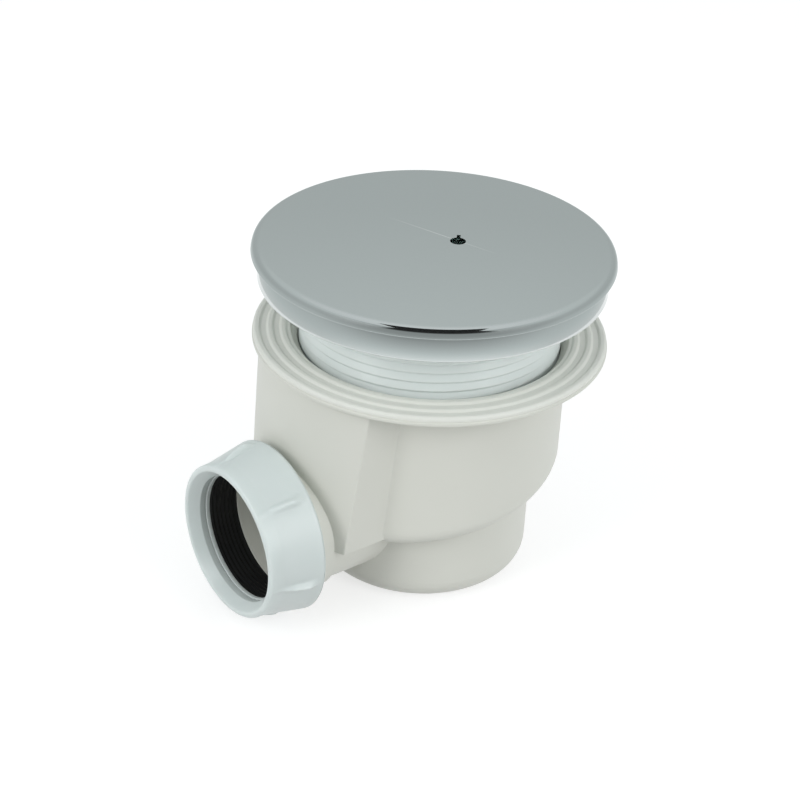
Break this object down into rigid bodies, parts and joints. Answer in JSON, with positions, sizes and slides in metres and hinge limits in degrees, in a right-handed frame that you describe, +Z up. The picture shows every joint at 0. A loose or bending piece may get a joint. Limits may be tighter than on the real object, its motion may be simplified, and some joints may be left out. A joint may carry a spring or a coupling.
{
  "type": "shower trap",
  "caption": "Shower tray trap: round chrome cover over a threaded clamp collar, white moulded body with ribbed flange gasket, deep water cup and a side outlet with compression nut.",
  "frame": {"origin": "on the drain axis, in the plane on the body's flange where the tray gasket sits", "axes": "+Z up along the drain axis, -X along the outlet"},
  "size_m": [0.1348, 0.115, 0.1132],
  "materials": {
    "body_plastic": "satin",
    "fitting_plastic": "satin",
    "gasket_soft": "matte",
    "cover_chrome": "polished",
    "seal_rubber": "satin"
  },
  "bodies": {
    "root": {"trap_body": "body_plastic", "tray_gasket": "gasket_soft", "clamp_collar": "fitting_plastic", "collar_gasket": "gasket_soft", "dip_tube": "fitting_plastic", "dip_tube_ring": "seal_rubber", "cover": "cover_chrome", "outlet_nut": "fitting_plastic", "slip_washer": "fitting_plastic", "outlet_seal": "seal_rubber"}
  },
  "joints": []
}
